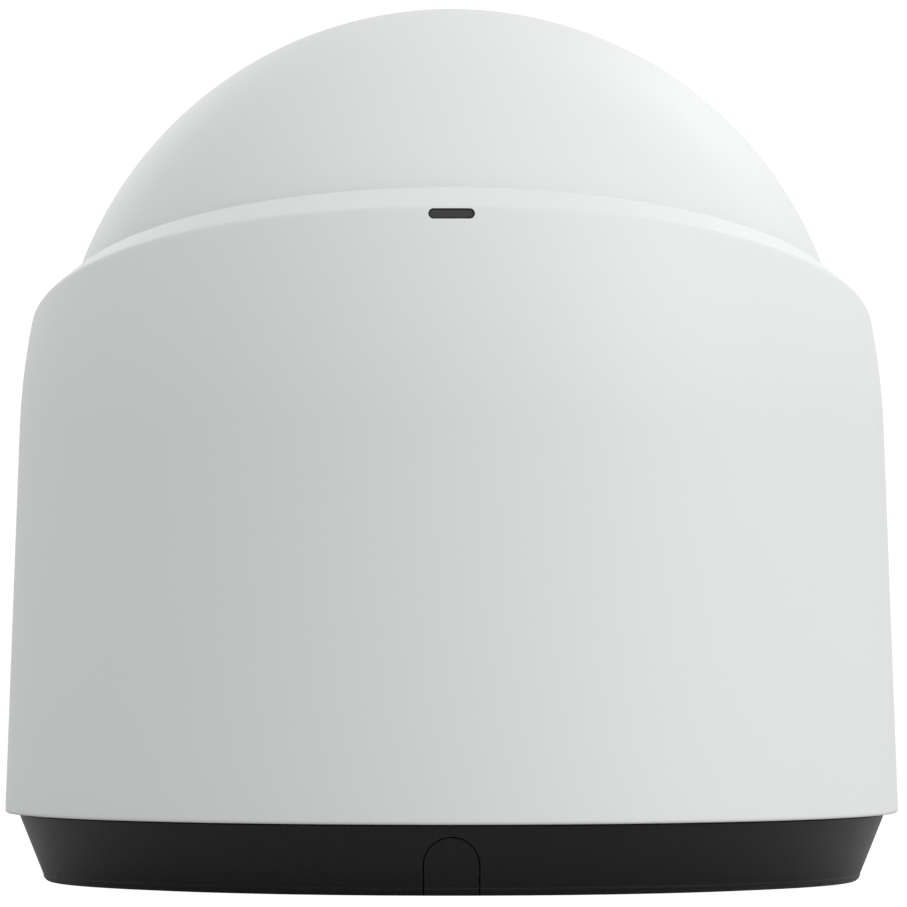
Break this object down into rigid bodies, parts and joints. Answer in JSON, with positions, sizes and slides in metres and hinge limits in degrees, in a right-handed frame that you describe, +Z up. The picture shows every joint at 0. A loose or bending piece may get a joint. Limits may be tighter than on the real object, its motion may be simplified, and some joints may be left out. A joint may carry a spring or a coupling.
{
  "type": "pan tilt zoom camera",
  "caption": "Round pan-tilt-zoom camera: white ball head in a tapered turning housing with a sloping rim, on a low black base with a cable knock-out.",
  "frame": {"origin": "centre of the mounting face, under the middle of the base", "axes": "+Z up along the pan axis; -Y to the front, where the lens looks; +Y to the back, with the cable knock-out; +X to the right axle of the head"},
  "size_m": [0.12, 0.12, 0.1172],
  "materials": {
    "white_plastic": "fine matt moulded polycarbonate, cool white",
    "black_plastic": "fine spark-eroded black ABS",
    "window_plastic": "polished smoked polycarbonate",
    "smoked_light_pipe": "smoked translucent polycarbonate",
    "lens_glass": "coated optical glass",
    "filter_glass": "blue-green infrared cut filter glass",
    "steel": "zinc plated steel",
    "bright_steel": "ground and polished bearing steel",
    "aluminium": "anodised aluminium",
    "brass": "turned brass",
    "yoke_plastic": "glass filled nylon",
    "gear_plastic": "natural acetal",
    "board": "solder masked circuit board",
    "component": "moulded electronic packages",
    "lamp": "clear epoxy lamps",
    "rubber": "closed cell rubber",
    "flex_cable": "polyimide flat cable",
    "button": "moulded grey plastic"
  },
  "bodies": {
    "base": {"base_shell": "black_plastic", "cable_knockout": "black_plastic", "mounting_plate": "steel", "base_gasket": "rubber", "main_board": "board", "board_components": "component", "ethernet_jack": "steel", "reset_switch": "component", "board_screws": "steel", "base_deck": "black_plastic", "deck_screws": "steel", "pan_ring_gear": "gear_plastic", "bearing_inner_race": "bright_steel", "pan_flex_cable": "flex_cable"},
    "reset": {"reset_button": "button"},
    "bearing_beads": {"bearing_cage": "brass", "bearing_balls": "bright_steel"},
    "pan": {"housing": "white_plastic", "yoke_frame": "yoke_plastic", "bearing_outer_race": "bright_steel", "pan_motor": "steel", "tilt_axle_right": "bright_steel", "tilt_axle_left": "bright_steel", "tilt_fixed_gear": "gear_plastic", "housing_screws": "steel", "status_light_pipe": "smoked_light_pipe", "status_light_board": "board"},
    "pan_drive": {"pan_pinion": "brass"},
    "head": {"head_rear_shell": "white_plastic", "head_front_shell": "white_plastic", "face_window": "window_plastic", "lens_bezel": "black_plastic", "cover_glass": "lens_glass", "lens_barrel": "black_plastic", "front_lens": "lens_glass", "spacer_ring": "black_plastic", "guide_rods": "bright_steel", "zoom_motor": "steel", "focus_motor": "steel", "filter_actuator": "component", "sensor_bracket": "black_plastic", "image_sensor": "component", "sensor_board": "board", "heat_sink": "aluminium", "infrared_lamp_board": "board", "infrared_lamps": "lamp", "head_chassis": "aluminium", "chassis_screws": "steel", "tilt_motor": "steel", "tilt_motor_bracket": "steel", "tilt_bushings": "brass", "head_flex_cable": "flex_cable"},
    "tilt_drive": {"tilt_pinion": "brass"},
    "zoom": {"zoom_carrier": "black_plastic", "zoom_lens": "lens_glass"},
    "zoom_drive": {"zoom_screw": "brass"},
    "focus": {"focus_carrier": "black_plastic", "focus_lens": "lens_glass"},
    "focus_drive": {"focus_screw": "brass"},
    "night_filter": {"infrared_cut_filter": "filter_glass"}
  },
  "joints": [
    {"name": "reset_press", "type": "slide", "parent": "base", "child": "reset", "axis": [1, 0, 0], "range_m": [0, 0.0005], "stiffness_N_per_m": 400},
    {"name": "pan", "type": "hinge", "parent": "base", "child": "pan", "pos_m": [0, 0, 0.0142], "axis": [0, 0, 1], "range_deg": [-175, 175]},
    {"name": "bearing_roll", "type": "hinge", "parent": "base", "child": "bearing_beads", "pos_m": [0, 0, 0.0142], "axis": [0, 0, 1], "range_deg": [-95, 95]},
    {"name": "pan_pinion_spin", "type": "hinge", "parent": "pan", "child": "pan_drive", "pos_m": [-0.03997, -0.02799, 0.0128], "axis": [0, 0, 1], "range_deg": [-1605, 1605]},
    {"name": "tilt", "type": "hinge", "parent": "pan", "child": "head", "pos_m": [0, 0, 0.06395], "axis": [-1, 0, 0], "range_deg": [-10, 65]},
    {"name": "tilt_pinion_spin", "type": "hinge", "parent": "head", "child": "tilt_drive", "pos_m": [0.04, 0.01414, 0.05736], "axis": [-1, 0, 0], "range_deg": [-40, 220]},
    {"name": "zoom_slide", "type": "slide", "parent": "head", "child": "zoom", "axis": [0, 0.9063, -0.4226], "range_m": [0, 0.01]},
    {"name": "zoom_screw_spin", "type": "hinge", "parent": "head", "child": "zoom_drive", "pos_m": [0.02, -0.02356, 0.07494], "axis": [0, 0.9063, -0.4226], "range_deg": [0, 3600]},
    {"name": "focus_slide", "type": "slide", "parent": "head", "child": "focus", "axis": [0, 0.9063, -0.4226], "range_m": [-0.003, 0.003]},
    {"name": "focus_screw_spin", "type": "hinge", "parent": "head", "child": "focus_drive", "pos_m": [-0.02, -0.01269, 0.06987], "axis": [0, 0.9063, -0.4226], "range_deg": [-1080, 1080]},
    {"name": "night_filter_slide", "type": "slide", "parent": "head", "child": "night_filter", "axis": [1, 0, 0], "range_m": [0, 0.01]}
  ],
  "couplings": [
    {"joint": "bearing_roll", "follows": "pan", "ratio": 0.52027},
    {"joint": "pan_pinion_spin", "follows": "pan", "ratio": 9.1667},
    {"joint": "tilt_pinion_spin", "follows": "tilt", "ratio": 3.3333},
    {"joint": "zoom_screw_spin", "follows": "zoom_slide", "rad_per_m": 6283.2},
    {"joint": "focus_screw_spin", "follows": "focus_slide", "rad_per_m": 6283.2}
  ]
}
